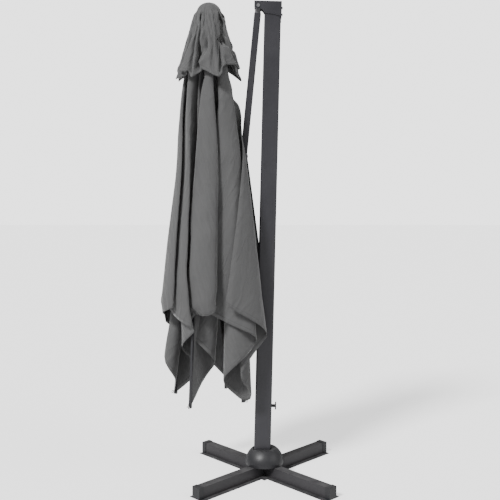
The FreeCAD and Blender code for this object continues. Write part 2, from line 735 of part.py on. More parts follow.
def stretcher_line():
    """The runner end and the rib end of a stretcher, as radius and height."""
    splay = math.radians(RIB_SPLAY)
    inward = RIB_DEPTH / 2 + 6.5
    top_radius = HINGE_RADIUS + STRETCHER_REACH * math.sin(splay) - inward * math.cos(splay)
    top_z = HINGE_Z - STRETCHER_REACH * math.cos(splay) - inward * math.sin(splay)
    return (29.0, RUNNER_Z), (top_radius, top_z)


def stretchers():
    low, high = stretcher_line()
    length = math.dist(low, high)
    flat = box(-5, 5, -3, 3, 0, length)
    for z in (0, length):
        flat = flat.fuse(rod(5, (0, -3, z), (0, 3, z)))
        flat = flat.cut(rod(2, (0, -4, z), (0, 4, z)))
    return around_pole(aim(flat, low, high), ALL_RIBS)


def stretcher_clips():
    """A clip round each rib that holds the top of its stretcher between two ears."""
    w = RIB_WIDTH / 2
    d = RIB_DEPTH / 2
    inward = -d - 6.5
    z = -STRETCHER_REACH
    clip = box(inward - 5, d + 1.5, -w - 1.5, w + 1.5, z - 9, z + 9)
    clip = clip.cut(box(-d, d, -w, w, z - 20, z + 20))
    clip = clip.cut(box(inward - 8, -d - 0.3, -3.3, 3.3, z - 20, z + 20))
    pin = rod(1.9, (inward, -w - 1.5, z), (inward, w + 1.5, z))
    return around_pole(on_rib(clip.fuse(pin)), ALL_RIBS)


def runner():
    """The ring that slides on the centre pole and gathers the stretchers."""
    body = rod(36, (0, 0, RUNNER_Z - 16), (0, 0, RUNNER_Z + 14))
    body = body.cut(rod(POLE_RADIUS + RUN_GAP, (0, 0, RUNNER_Z - 20), (0, 0, RUNNER_Z + 20)))
    for angle in ALL_RIBS:
        slot = box(22, 40, -3.4, 3.4, RUNNER_Z - 8, RUNNER_Z + 20)
        body = body.cut(turned(slot, angle))
        body = body.fuse(turned(rod(1.9, (29, -4.5, RUNNER_Z), (29, 4.5, RUNNER_Z)), angle))
    body.translate(V(HANGER[0], 0, 0))
    return body


def centre_pole():
    """The short pole below the yoke, with a wider end stop for the runner."""
    x = HANGER[0]
    pole = ring(POLE_RADIUS, POLE_RADIUS - 1.8, (x, 0, POLE_LOW), (x, 0, POLE_HIGH))
    return pole.fuse(rod(17, (x, 0, POLE_LOW - 14), (x, 0, POLE_LOW)))


# ---- canopy cloth ------------------------------------------------------------------
def bundle_ring(z, radius, corner, middle):
    """One closed outline: round at the crown, and drawn in at the ribs below it."""
    points = []
    depth = min(1.0, (BUNDLE[0][0] - z) / 280) if z < BUNDLE[0][0] else 0.0
    for k in range(2 * RIB_COUNT):
        angle = math.radians(FIRST_RIB + 22.5 * k)
        share = (middle, 1.0, corner, 1.0)[k % 4]
        if k == 2 * RIB_COUNT - 1:
            share = 0.84
        r = radius * (1 + (share - 1) * depth)
        points.append(V(HANGER[0] + r * math.cos(angle), r * math.sin(angle), z))
    return Part.makePolygon(points + points[:1])


def bundle_solid(table, inset, drop, corner, middle):
    rings = []
    last = len(table) - 1
    for k, (z, radius) in enumerate(table):
        height = z - (drop if k < last else 12 * (inset > 0))
        rings.append(bundle_ring(height, radius - inset, corner, middle))
    return Part.makeLoft(rings, True, True)


def corner_tail(azimuth):
    """One corner of the cloth, which hangs below the bundle to the tip of its rib."""
    wires = []
    for z, radius, spread, thick in TAIL:
        corners = ((radius, -spread), (radius + 7, 0), (radius, spread), (radius - thick, 0))
        points = []
        for r, turn in corners:
            a = math.radians(azimuth + turn)
            points.append(V(HANGER[0] + r * math.cos(a), r * math.sin(a), z))
        wires.append(Part.makePolygon(points + points[:1]))
    return Part.makeLoft(wires, True, True)


def boom_slit():
    return box(HANGER[0], HANGER[0] + 500, -BOOM_SLIT, BOOM_SLIT, 850, HANGER[1] + 18)


def canopy_cloth():
    """The folded canopy: a hollow pleated bundle with four hanging corners."""
    cloth = bundle_solid(BUNDLE, 0, 0, 0.95, 0.84)
    cloth = cloth.cut(bundle_solid(BUNDLE, CLOTH_WALL, 7, 0.95, 0.84))
    for azimuth in rib_azimuths(1):
        cloth = cloth.fuse(corner_tail(azimuth))
    cloth = cloth.cut(boom_slit())
    return cloth.cut(rod(5.5, (HANGER[0], 0, 2590), (HANGER[0], 0, 2650)))


def vent_cap():
    """The small second roof over the vent, folded down round the top of the bundle."""
    cap = bundle_solid(VENT, 0, 0, 1.0, 0.96)
    cap = cap.cut(bundle_solid(VENT, 4.0, 4, 1.0, 0.96))
    cap = cap.cut(boom_slit())
    return cap.cut(rod(5.5, (HANGER[0], 0, 2590), (HANGER[0], 0, 2650)))


def top_button():
    """The button that clamps both cloths to the crown."""
    x = HANGER[0]
    stem = rod(5, (x, 0, CROWN_HIGH), (x, 0, 2624))
    dome = rod(22, (x, 0, 2622.4), (x, 0, 2631))
    dome = dome.makeFillet(3.5, [e for e in dome.Edges if e.BoundBox.ZMin > 2630])
    return stem.fuse(dome)


def corner_eyelets():
    eyelet = ring(8, 4, (TIP_RADIUS + 14, 0, TIP_Z + 24), (TIP_RADIUS + 16.5, 0, TIP_Z + 24))
    return around_pole(eyelet, rib_azimuths(1))


NODES = (long_bar, cross_bars, end_caps, under_plate, hub_plate, base_bolts, base_nuts, post_tube,
         thrust_ring, mast_tube, swivel_bushes, dome_cover, top_bracket, bracket_bolts, strut_pin,
         pulley_plate, pulley_pin, head_pulley, cable_return, cable_fall, clamp_insert,
         crank_housing, crank_bush, clamp_pad, clamp_screw, clamp_knob, crank_shaft, cable_drum,
         drum_winding, crank_arm, crank_grip, strut_tube, strut_eye, strut_spacers,
         strut_forks, knuckle_pin, boom_knuckle, lower_boom_tube, upper_boom_tube,
         knuckle_bolts, boom_foot, boom_head, carriage_block, glide_pads, carriage_pin, head_yoke,
         head_pin, crown_hub, rib_pins, corner_ribs, middle_ribs, rib_tips, stretchers,
         stretcher_clips, runner, centre_pole, canopy_cloth, vent_cap,
         top_button, corner_eyelets)

os.makedirs("parts", exist_ok=True)
for make in NODES:
    save(make.__name__, make())
print(len(NODES), "nodes written")
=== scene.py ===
"""Cantilever parasol, folded: finishes for its frame, and its cloth, cable and eyelets around it."""

import json
import math

import bpy
import numpy as np
from bpy.props import FloatProperty, FloatVectorProperty, IntProperty, PointerProperty
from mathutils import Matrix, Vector


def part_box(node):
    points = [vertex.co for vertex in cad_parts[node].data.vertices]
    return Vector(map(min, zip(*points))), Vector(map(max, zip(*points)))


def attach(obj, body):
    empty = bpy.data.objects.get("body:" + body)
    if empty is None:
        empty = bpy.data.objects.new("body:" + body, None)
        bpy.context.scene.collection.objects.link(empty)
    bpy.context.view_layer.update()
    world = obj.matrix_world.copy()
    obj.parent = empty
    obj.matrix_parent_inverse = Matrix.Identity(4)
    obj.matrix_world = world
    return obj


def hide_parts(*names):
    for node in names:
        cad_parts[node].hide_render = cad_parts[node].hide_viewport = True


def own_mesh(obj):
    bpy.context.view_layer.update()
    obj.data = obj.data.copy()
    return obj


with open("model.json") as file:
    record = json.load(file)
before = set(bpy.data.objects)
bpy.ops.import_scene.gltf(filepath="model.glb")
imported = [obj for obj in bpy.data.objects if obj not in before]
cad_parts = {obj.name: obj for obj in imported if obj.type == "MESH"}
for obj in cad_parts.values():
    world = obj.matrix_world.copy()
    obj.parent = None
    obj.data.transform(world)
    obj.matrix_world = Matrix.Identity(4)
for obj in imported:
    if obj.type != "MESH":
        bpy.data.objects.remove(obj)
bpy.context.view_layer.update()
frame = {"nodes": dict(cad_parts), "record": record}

bl_info = {
    "name": "Cantilever Parasol",
    "version": (1, 0, 0),
    "blender": (4, 5, 0),
    "location": "View3D > Sidebar > Parasol",
    "description": "Builds the looks of a folded cantilever parasol around its frame",
    "category": "Object",
}

FLOOR_SIZE = 40.0

# Where the folded canopy hangs, in metres.
AXIS_X = -0.312
HINGE_Z = 2.565
HINGE_RADIUS = 0.050
FIRST_RIB = math.radians(21)
RIB_STEP = math.pi / 4
RIB_SPLAY = math.radians(4.4)
SHEET_SLOPE = 0.406

# The slit for the boom: its panel, its share across that panel, where its lips start to part,
# half its width, and how far from its middle plane the cloth is drawn aside.
SLIT_SECTOR = 7
SLIT_SHARE = 0.616
CAP_SLIT_SHARE = 0.532
SLIT_TOP = 2.49
SLIT_FADE = 0.045
SLIT_HALF = 0.022
SLIT_REACH = 0.050

# The round top of the vent cap: the height of its middle, the radius and depth of its curve,
# its length along the cloth, and the lean of its crests, open and folded, in degrees.
CAP_TOP = 2.644
CAP_HOLE = 0.004
CAP_ROUND = 0.066
CAP_DEPTH = 0.060
CAP_DOME = 0.095
CAP_OPEN = 80
CAP_CLOSING = 61.4

# The wall that gathers the cloth: its sides, its open radius and its distance outside the outline.
WALL_SIDES = 64
WALL_OPEN = 2.6
WALL_OFFSET = 0.022

# How far the cloth may stand outside its outline, and from what share of that it is drawn in.
OUTLINE_MARGIN = 0.008
DRAW_IN = 0.95

# Linkage points, in metres, as the folded boom and strut stand.
STRUT_TOP = Vector((-0.0342, 0.0, 2.6232))
KNUCKLE = Vector((-0.1161, 0.0, 1.7822))
BOOM_FOOT = Vector((0.0071, 0.0, 0.8503))
HANGER = Vector((-0.312, 0.0, 2.463))
MAST_FOOT = Vector((-0.0152, 0.0, 0.0))
MAST_TOP = Vector((0.0478, 0.0, 2.640))

# Height and outside radius of the folded bundle: away from the mast, and on the side nearest it.
CROWN_OUTLINE = (
    (2.62, 0.075), (2.572, 0.085), (2.49, 0.090), (2.435, 0.099), (2.32, 0.126), (2.25, 0.148),
)
OUTLINE = CROWN_OUTLINE + (
    (2.19, 0.172), (2.10, 0.180), (1.985, 0.170), (1.873, 0.173), (1.76, 0.180), (1.648, 0.192),
    (1.536, 0.209), (1.424, 0.225), (1.31, 0.242), (1.20, 0.255), (1.086, 0.269), (0.974, 0.283),
    (0.86, 0.268), (0.69, 0.262),
)
NEAR_OUTLINE = CROWN_OUTLINE + (
    (2.19, 0.168), (2.10, 0.188), (1.93, 0.195), (1.73, 0.236), (1.42, 0.286), (1.21, 0.309),
    (1.03, 0.335), (0.75, 0.366), (0.50, 0.390),
)
CAP_OUTLINE = (
    (2.66, 0.060), (2.60, 0.076), (2.547, 0.090), (2.49, 0.106), (2.435, 0.122), (2.379, 0.140),
    (2.322, 0.157), (2.266, 0.176), (2.21, 0.196), (2.10, 0.200), (1.80, 0.205),
)


# ---- user values -------------------------------------------------------------------
class ParasolSizes(bpy.types.PropertyGroup):
    """Sizes that a user may change."""

    half_side: FloatProperty(
        name="Half side", description="From the crown to the middle of a side of the open canopy",
        default=1.5, min=0.5, max=2.5, unit="LENGTH")
    cap_half_side: FloatProperty(
        name="Vent cap reach", description="From the crown to a corner of the eight-sided vent cap",
        default=0.46, min=0.2, max=0.8, unit="LENGTH")
    cloth_gap: FloatProperty(
        name="Cloth gap", description="Distance of the cloth outside the middle of a rib",
        default=0.020, min=0.008, max=0.03, unit="LENGTH")
    cloth_thickness: FloatProperty(
        name="Cloth thickness", description="Thickness of the canopy cloth",
        default=0.0012, min=0.0004, max=0.003, unit="LENGTH")
    rings: IntProperty(
        name="Rings", description="Rows of the canopy cloth from the crown to the hem",
        default=44, min=12, max=80)
    columns: IntProperty(
        name="Columns", description="Columns of the canopy cloth between two ribs",
        default=16, min=6, max=32)


class ParasolColours(bpy.types.PropertyGroup):
    """Colours that a user may change."""

    cloth: FloatVectorProperty(
        name="Cloth", description="Colour of the canopy cloth",
        default=(0.068, 0.068, 0.0685), size=3, min=0, max=1, subtype="COLOR")
    mast: FloatVectorProperty(
        name="Mast", description="Colour of the painted mast and strut",
        default=(0.026, 0.0253, 0.030), size=3, min=0, max=1, subtype="COLOR")
    base: FloatVectorProperty(
        name="Base", description="Colour of the painted cross base",
        default=(0.024, 0.0225, 0.025), size=3, min=0, max=1, subtype="COLOR")
    floor: FloatVectorProperty(
        name="Floor", description="Colour of the studio floor",
        default=(0.9, 0.9, 0.9), size=3, min=0, max=1, subtype="COLOR")


# ---- node helpers ------------------------------------------------------------------
def new_group(name, inputs, outputs):
    """A shader node group with float or vector sockets."""
    tree = bpy.data.node_groups.new(name, "ShaderNodeTree")
    for label, kind, value in inputs:
        socket = tree.interface.new_socket(name=label, in_out="INPUT", socket_type=kind)
        socket.default_value = value
    for label, kind in outputs:
        tree.interface.new_socket(name=label, in_out="OUTPUT", socket_type=kind)
    return tree, tree.nodes.new("NodeGroupInput"), tree.nodes.new("NodeGroupOutput")


def math_node(tree, operation, first, second=None, clamp=False):
    """A maths node fed by sockets or numbers."""
    node = tree.nodes.new("ShaderNodeMath")
    node.operation = operation
    node.use_clamp = clamp
    for slot_index, value in enumerate((first, second)):
        if value is None:
            continue
        if isinstance(value, (int, float)):
            node.inputs[slot_index].default_value = value
        else:
            tree.links.new(value, node.inputs[slot_index])
    return node.outputs[0]


def noise(tree, vector, scale, detail=3.0, roughness=0.5, distortion=0.0):
    """A noise texture read at a vector."""
    node = tree.nodes.new("ShaderNodeTexNoise")
    tree.links.new(vector, node.inputs["Vector"])
    if isinstance(scale, (int, float)):
        node.inputs["Scale"].default_value = scale
    else:
        tree.links.new(scale, node.inputs["Scale"])
    node.inputs["Detail"].default_value = detail
    node.inputs["Roughness"].default_value = roughness
    node.inputs["Distortion"].default_value = distortion
    return node.outputs["Fac"]


def spread(tree, value, low, high, to_low=0.0, to_high=1.0):
    """A value remapped from one range to another."""
    node = tree.nodes.new("ShaderNodeMapRange")
    tree.links.new(value, node.inputs["Value"])
    node.inputs["From Min"].default_value = low
    node.inputs["From Max"].default_value = high
    node.inputs["To Min"].default_value = to_low
    node.inputs["To Max"].default_value = to_high
    return node.outputs[0]


def mix_colour(tree, factor, first, second):
    """Two colours mixed by a factor; either may be a socket."""
    node = tree.nodes.new("ShaderNodeMix")
    node.data_type = "RGBA"
    tree.links.new(factor, node.inputs[0])
    for index, value in ((6, first), (7, second)):
        if isinstance(value, tuple):
            node.inputs[index].default_value = (*value[:3], 1.0)
        else:
            tree.links.new(value, node.inputs[index])
    return node.outputs[2]


def grain_group():
    """Fine orange-peel of a powder coat or a moulding, with slow changes of tone."""
    tree, entry, leave = new_group(
        "Coat Grain",
        (("Scale", "NodeSocketFloat", 900.0), ("Cloud Scale", "NodeSocketFloat", 6.0)),
        (("Height", "NodeSocketFloat"), ("Tone", "NodeSocketFloat")))
    place = tree.nodes.new("ShaderNodeTexCoord").outputs["Object"]
    fine = noise(tree, place, entry.outputs["Scale"], 2.0, 0.6)
    cloud = noise(tree, place, entry.outputs["Cloud Scale"], 5.0, 0.6)
    speck = spread(tree, fine, 0.35, 0.65)
    slow = spread(tree, cloud, 0.3, 0.7)
    tone = math_node(tree, "ADD", math_node(tree, "MULTIPLY", speck, 0.35),
                     math_node(tree, "MULTIPLY", slow, 0.65), True)
    tree.links.new(fine, leave.inputs["Height"])
    tree.links.new(tone, leave.inputs["Tone"])
    return tree


def dust_group():
    """Pale dust that settles on faces that look up, broken by noise."""
    tree, entry, leave = new_group(
        "Settled Dust", (("Amount", "NodeSocketFloat", 0.2), ("Scale", "NodeSocketFloat", 14.0)),
        (("Mask", "NodeSocketFloat"),))
    split = tree.nodes.new("ShaderNodeSeparateXYZ")
    tree.links.new(tree.nodes.new("ShaderNodeNewGeometry").outputs["Normal"], split.inputs[0])
    place = tree.nodes.new("ShaderNodeTexCoord").outputs["Object"]
    patch = spread(tree, noise(tree, place, entry.outputs["Scale"], 6.0, 0.65), 0.3, 0.7)
    up = spread(tree, split.outputs["Z"], 0.2, 1.0)
    facing = math_node(tree, "MULTIPLY", up, patch)
    mask = math_node(tree, "MULTIPLY", facing, entry.outputs["Amount"], True)
    tree.links.new(mask, leave.inputs["Mask"])
    return tree


def scuff_group():
    """Short thin scratches, as handling leaves on paint and plastic."""
    tree, entry, leave = new_group(
        "Light Scuffs", (("Scale", "NodeSocketFloat", 30.0), ("Amount", "NodeSocketFloat", 0.3)),
        (("Mask", "NodeSocketFloat"),))
    place = tree.nodes.new("ShaderNodeTexCoord").outputs["Object"]
    lean = tree.nodes.new("ShaderNodeMapping")
    lean.inputs["Rotation"].default_value = (0.5, 0.3, 0.4)
    lean.inputs["Scale"].default_value = (1.0, 1.0, 0.06)
    tree.links.new(place, lean.inputs["Vector"])
    line = noise(tree, lean.outputs[0], entry.outputs["Scale"], 8.0, 0.75, 0.4)
    where = spread(tree, noise(tree, place, 4.0, 3.0), 0.5, 0.72)
    thin = spread(tree, line, 0.66, 0.74)
    short = math_node(tree, "MULTIPLY", thin, where)
    mask = math_node(tree, "MULTIPLY", short, entry.outputs["Amount"], True)
    tree.links.new(mask, leave.inputs["Mask"])
    return tree


def weave_group():
    """Plain weave of fine threads in two directions, with slubs."""
    tree, entry, leave = new_group(
        "Plain Weave", (("Threads", "NodeSocketFloat", 200.0), ("Slub Scale", "NodeSocketFloat", 60.0)),
        (("Height", "NodeSocketFloat"), ("Tone", "NodeSocketFloat")))
    place = tree.nodes.new("ShaderNodeUVMap")
    place.uv_map = "pattern"
    waves = []
    for direction in ("X", "Y"):
        wave = tree.nodes.new("ShaderNodeTexWave")
        wave.bands_direction = direction
        wave.inputs["Distortion"].default_value = 0.6
        tree.links.new(entry.outputs["Threads"], wave.inputs["Scale"])
        tree.links.new(place.outputs[0], wave.inputs["Vector"])
        waves.append(wave.outputs["Fac"])
    stretch = tree.nodes.new("ShaderNodeMapping")
    stretch.inputs["Scale"].default_value = (1.0, 0.08, 1.0)
    tree.links.new(place.outputs[0], stretch.inputs["Vector"])
    slub = noise(tree, stretch.outputs[0], entry.outputs["Slub Scale"], 4.0, 0.7)
    height = math_node(tree, "ADD", math_node(tree, "MULTIPLY", waves[0], waves[1]),
                       math_node(tree, "MULTIPLY", slub, 0.6))
    tree.links.new(height, leave.inputs["Height"])
    tree.links.new(spread(tree, slub, 0.3, 0.7), leave.inputs["Tone"])
    return tree


def crease_group():
    """Soft creases left by packing, running mostly down the cloth."""
    tree, entry, leave = new_group(
        "Packing Creases", (("Scale", "NodeSocketFloat", 7.0),), (("Height", "NodeSocketFloat"),))
    place = tree.nodes.new("ShaderNodeUVMap")
    place.uv_map = "pattern"
    ridges = []
    for turn, stretch in ((0.5, 0.35), (-0.7, 0.5), (1.4, 0.3)):
        lean = tree.nodes.new("ShaderNodeMapping")
        lean.inputs["Rotation"].default_value = (0.0, 0.0, turn)
        lean.inputs["Scale"].default_value = (1.0, stretch, 1.0)
        tree.links.new(place.outputs[0], lean.inputs["Vector"])
        soft = noise(tree, lean.outputs[0], entry.outputs["Scale"], 2.0, 0.5, 0.6)
        away = math_node(tree, "ABSOLUTE", math_node(tree, "SUBTRACT", soft, 0.5))
        ridges.append(spread(tree, away, 0.0, 0.05, 1.0, 0.0))
    total = math_node(tree, "ADD", math_node(tree, "ADD", ridges[0], ridges[1]), ridges[2])
    tree.links.new(total, leave.inputs["Height"])
    return tree


def strand_group():
    """The lay of a stranded wire or a wound cable."""
    tree, entry, leave = new_group(
        "Wire Lay", (("Scale", "NodeSocketFloat", 60.0),), (("Height", "NodeSocketFloat"),))
    place = tree.nodes.new("ShaderNodeTexCoord").outputs["Object"]
    lean = tree.nodes.new("ShaderNodeMapping")
    lean.inputs["Rotation"].default_value = (0.6, 0.0, 0.6)
    tree.links.new(place, lean.inputs["Vector"])
    wave = tree.nodes.new("ShaderNodeTexWave")
    wave.bands_direction = "Z"
    tree.links.new(entry.outputs["Scale"], wave.inputs["Scale"])
    tree.links.new(lean.outputs[0], wave.inputs["Vector"])
    tree.links.new(wave.outputs["Fac"], leave.inputs["Height"])
    return tree


def use_group(tree, group, **values):
    """A node group placed in a material with its own values."""
    node = tree.nodes.new("ShaderNodeGroup")
    node.node_tree = group
    for label, value in values.items():
        node.inputs[label.replace("_", " ")].default_value = value
    return node


def new_material(name):
    """An empty material with its shader."""
    material = bpy.data.materials.new(name)
    material.use_nodes = True
    shader = material.node_tree.nodes["Principled BSDF"]
    return material, material.node_tree, shader


def add_bump(tree, shader, height, strength, distance, under=None):
    """A bump that feeds the shader's normal; under is the normal of a coarser bump."""
    bump = tree.nodes.new("ShaderNodeBump")
    bump.inputs["Strength"].default_value = strength
    bump.inputs["Distance"].default_value = distance
    tree.links.new(height, bump.inputs["Height"])
    if under is not None:
        tree.links.new(under, bump.inputs["Normal"])
    tree.links.new(bump.outputs[0], shader.inputs["Normal"])
    return bump.outputs[0]


GROUPS = {}


def shade(colour, share, lift=0.0):
    """A colour made darker or lighter."""
    return tuple(min(1.0, channel * share + lift) for channel in colour)


def coated(name, colour, rough, metallic=0.0, grain=900.0, peel=0.25, dust=0.25, scuffs=0.25, coat=0.0):
    """Paint, moulding or plated metal: grain, slow changes of tone, dust on top faces, light scuffs."""
    material, tree, shader = new_material(name)
    grains = use_group(tree, GROUPS["grain"], Scale=grain, Cloud_Scale=5.0)
    dusty = use_group(tree, GROUPS["dust"], Amount=dust)
    scuffed = use_group(tree, GROUPS["scuff"], Amount=scuffs)
    dark = shade(colour, 0.82)
    light = shade(colour, 1.16, 0.002)
    pale = shade(colour, 0.5, 0.16)
    worn = shade(colour, 1.8, 0.02)
    base = mix_colour(tree, grains.outputs["Tone"], dark, light)
    base = mix_colour(tree, scuffed.outputs["Mask"], base, worn)
    base = mix_colour(tree, dusty.outputs["Mask"], base, pale)
    tree.links.new(base, shader.inputs["Base Color"])
    spots = spread(tree, grains.outputs["Tone"], 0.0, 1.0, rough - 0.05, rough + 0.07)
    matt = math_node(tree, "ADD", spots, math_node(tree, "MULTIPLY", dusty.outputs["Mask"], 0.5), True)
    tree.links.new(matt, shader.inputs["Roughness"])
    shader.inputs["Metallic"].default_value = metallic
    shader.inputs["Specular IOR Level"].default_value = 0.35
    if coat:
        shader.inputs["Coat Weight"].default_value = coat
        shader.inputs["Coat Roughness"].default_value = 0.25
    add_bump(tree, shader, grains.outputs["Height"], peel, 0.0004)
    return material


def wound(name, colour, rough, lay):
    """Stranded steel cable, with painted shade darkening the grooves between its strands."""
    material, tree, shader = new_material(name)
    strands = use_group(tree, GROUPS["strand"], Scale=lay)
    # painted shade: where the lay height is low, in the grooves between strands, the colour falls to less
    # than half
    base = mix_colour(tree, strands.outputs["Height"], shade(colour, 0.45), colour)
    tree.links.new(base, shader.inputs["Base Color"])
    matt = spread(tree, strands.outputs["Height"], 0, 1, rough + 0.15, rough)
    tree.links.new(matt, shader.inputs["Roughness"])
    shader.inputs["Metallic"].default_value = 1.0
    add_bump(tree, shader, strands.outputs["Height"], 0.6, 0.0006)
    return material


def woven(name, colour):
    """Woven polyester: threads, slubs, creases, stitched seams along the ribs and a stitched hem."""
    material, tree, shader = new_material(name)
    weave = use_group(tree, GROUPS["weave"], Threads=200.0)
    creases = use_group(tree, GROUPS["crease"], Scale=6.0)
    place = tree.nodes.new("ShaderNodeTexCoord").outputs["Object"]
    fade = spread(tree, noise(tree, place, 2.2, 4.0, 0.6), 0.3, 0.7)
    base = mix_colour(tree, weave.outputs["Tone"], shade(colour, 0.86), shade(colour, 1.1))
    base = mix_colour(tree, math_node(tree, "MULTIPLY", fade, 0.35), base, shade(colour, 1.35))
    heights = []
    for label, line, width in (("hem_gap", 0.020, 0.0016), ("rib_gap", 0.009, 0.0016)):
        mark = tree.nodes.new("ShaderNodeAttribute")
        mark.attribute_name = label
        gap = mark.outputs["Fac"]
        stitch = spread(tree, math_node(tree, "ABSOLUTE", math_node(tree, "SUBTRACT", gap, line)),
                        width * 0.4, width, 1.0, 0.0)
        band = spread(tree, gap, line, line + 0.004, 1.0, 0.0)
        base = mix_colour(tree, math_node(tree, "MULTIPLY", stitch, 0.5), base, shade(colour, 0.5))
        heights.append(math_node(tree, "SUBTRACT", band, math_node(tree, "MULTIPLY", stitch, 0.8)))
    tree.links.new(base, shader.inputs["Base Color"])
    tree.links.new(spread(tree, weave.outputs["Tone"], 0, 1, 0.72, 0.84), shader.inputs["Roughness"])
    shader.inputs["Sheen Weight"].default_value = 0.25
    shader.inputs["Sheen Roughness"].default_value = 0.45
    shader.inputs["Specular IOR Level"].default_value = 0.35
    coarse = add_bump(tree, shader, creases.outputs["Height"], 0.32, 0.004)
    layers = math_node(tree, "ADD", heights[0], heights[1])
    middle = add_bump(tree, shader, layers, 0.7, 0.0012, coarse)
    add_bump(tree, shader, weave.outputs["Height"], 0.35, 0.0004, middle)
    return material


# ---- mesh helpers ------------------------------------------------------------------
def clear_selection():
    """Leave edit mode and deselect everything."""
    if bpy.context.object and bpy.context.object.mode != "OBJECT":
        bpy.ops.object.mode_set(mode="OBJECT")
    bpy.ops.object.select_all(action="DESELECT")


def make_active(piece):
    """Select one piece alone."""
    clear_selection()
    piece.select_set(True)
    bpy.context.view_layer.objects.active = piece


def link(name, mesh):
    """A new object for a mesh."""
    piece = bpy.data.objects.new(name, mesh)
    bpy.context.scene.collection.objects.link(piece)
    return piece


def apply_all(piece):
    """Apply every modifier on a piece in order."""
    make_active(piece)
    for modifier in list(piece.modifiers):
        bpy.ops.object.modifier_apply(modifier=modifier.name)


def settle(piece):
    """Move a piece's place into its mesh."""
    make_active(piece)
    bpy.ops.object.transform_apply(location=True, rotation=True, scale=True)


def radius_at(outline, height):
    """The radius of an outline at a height."""
    heights = [point[0] for point in outline][::-1]
    radii = [point[1] for point in outline][::-1]
    return float(np.interp(height, heights, radii))


def hold_radius(outline, near, height, angle):
    """The allowed radius at a height and an angle about the canopy's axis."""
    far = radius_at(outline, height)
    if near is None:
        return far
    angle = (angle + math.pi) % (2 * math.pi) - math.pi
    share = math.exp(-((angle + math.radians(25)) / math.radians(34)) ** 2)
    return far + (radius_at(near, height) - far) * share


# ---- cloth -------------------------------------------------------------------------
class Sheet:
    """A pyramid of eight panels, cut flat, sewn along the ribs and slit for the boom."""

    def __init__(self, half, corner, rings, columns, top, slit_share, slit_row):
        self.half = half
        self.rings = rings
        self.columns = columns
        self.top = top
        self.cut = SLIT_SECTOR * columns + round(slit_share * columns)
        self.slit_row = slit_row
        self.tips = []
        for k in range(8):
            angle = FIRST_RIB + k * RIB_STEP
            reach = half if k % 2 == 0 else corner
            drop = -half * SHEET_SLOPE
            self.tips.append(Vector((math.cos(angle) * reach, math.sin(angle) * reach, drop)))
        self.slant = self.tips[0].length
        self.points = []
        self.marks = []
        self.faces = []
        self.build()

    def build(self):
        """The open sheet's points, its marks (rib, share down, share across) and its faces."""
        around = 8 * self.columns
        for i in range(self.rings + 1):
            share = self.top + (1 - self.top) * i / self.rings
            for k in range(8):
                for j in range(self.columns):
                    across = j / self.columns
                    self.points.append(self.tips[k].lerp(self.tips[(k + 1) % 8], across) * share)
                    self.marks.append((k, share, across))
        twins = {}
        for i in range(self.slit_row, self.rings + 1):
            twins[i * around + self.cut] = len(self.points)
            self.points.append(self.points[i * around + self.cut].copy())
            self.marks.append(self.marks[i * around + self.cut])
        for i in range(self.rings):
            for c in range(around):
                a = i * around + c
                b = i * around + (c + 1) % around
                face = [a, a + around, b + around, b]
                if c == self.cut:
                    face[0] = twins.get(face[0], face[0])
                    face[1] = twins.get(face[1], face[1])
                self.faces.append(tuple(face))

    def side(self, index):
        """Which side of the slit a point is sewn to: -1, 1, or 0 when it is far from the slit."""
        around = 8 * self.columns
        if index >= around * (self.rings + 1):
            return 1
        steps = (index % around - self.cut + around // 2) % around - around // 2
        if abs(steps) > around // 4:
            return 0
        return 1 if steps > 0 else -1

    def part_slit(self, places):
        """Draw both lips of the slit aside, so the boom can swing between them."""
        out = places.copy()
        for index, (x, y, z) in enumerate(places):
            side = self.side(index)
            below = min(1.0, max(0.0, (SLIT_TOP + SLIT_FADE - z) / SLIT_FADE))
            if side == 0 or x < AXIS_X or y * side > SLIT_REACH:
                continue
            share = max(0.0, (y * side + SLIT_REACH) / (2 * SLIT_REACH))
            aside = SLIT_HALF + (SLIT_REACH - SLIT_HALF) * share
            out[index, 1] = side * (y * side + (aside - y * side) * below)
        return out

    def rib_path(self, k, share, fold, gap):
        """Where a point on rib k is when the ribs are folded by a share from 0 to 1."""
        tip = self.tips[k]
        opened = math.atan2(math.hypot(tip.x, tip.y), -tip.z)
        lean = opened + (RIB_SPLAY - opened) * fold
        angle = FIRST_RIB + k * RIB_STEP
        hinge = HINGE_RADIUS * fold
        along = max(tip.length * share - hinge, 0.0)
        radius = hinge + along * math.sin(lean) + gap * fold
        return Vector((AXIS_X + radius * math.cos(angle), radius * math.sin(angle),
                       HINGE_Z - along * math.cos(lean)))

    def pattern(self, index, corner):
        """A point's place on the flat cloth, in metres; corner is the face's rib, so seams stay sharp."""
        k, share, across = self.marks[index]
        if k != corner:
            across = 1.0
        if corner % 2:
            across = 1.0 - across
        return (share * across * self.half, share * self.slant)

    def gaps(self, index):
        """Distances on the flat cloth to the hem and to the nearest rib."""
        k, share, across = self.marks[index]
        if k % 2:
            across = 1.0 - across
        near_middle = share * across * self.half
        near_corner = share * (1.0 - across) * self.half * math.sin(math.radians(47))
        return ((1.0 - share) * self.slant, min(near_middle, near_corner))


def box_collider(name, start, end, width, depth):
    """A plain bar from one point to another, only for the cloth to rest on."""
    along = end - start
    turn = along.to_track_quat("Z", "Y")
    clear_selection()
    bpy.ops.mesh.primitive_cube_add(size=1)
    bar = bpy.context.object
    bar.name = name
    for vertex in bar.data.vertices:
        local = Vector((vertex.co.x * depth, vertex.co.y * width, vertex.co.z * along.length))
        vertex.co = turn @ local + (start + end) / 2
    return bar


def key_ramp(key, times):
    """Keyframe a shape key's value at frames."""
    for time, value in times:
        key.value = value
        key.keyframe_insert("value", frame=time)


def make_linear(owner):
    """Straight runs between keyframes."""
    for curve in owner.animation_data.action.fcurves:
        for point in curve.keyframe_points:
            point.interpolation = "LINEAR"


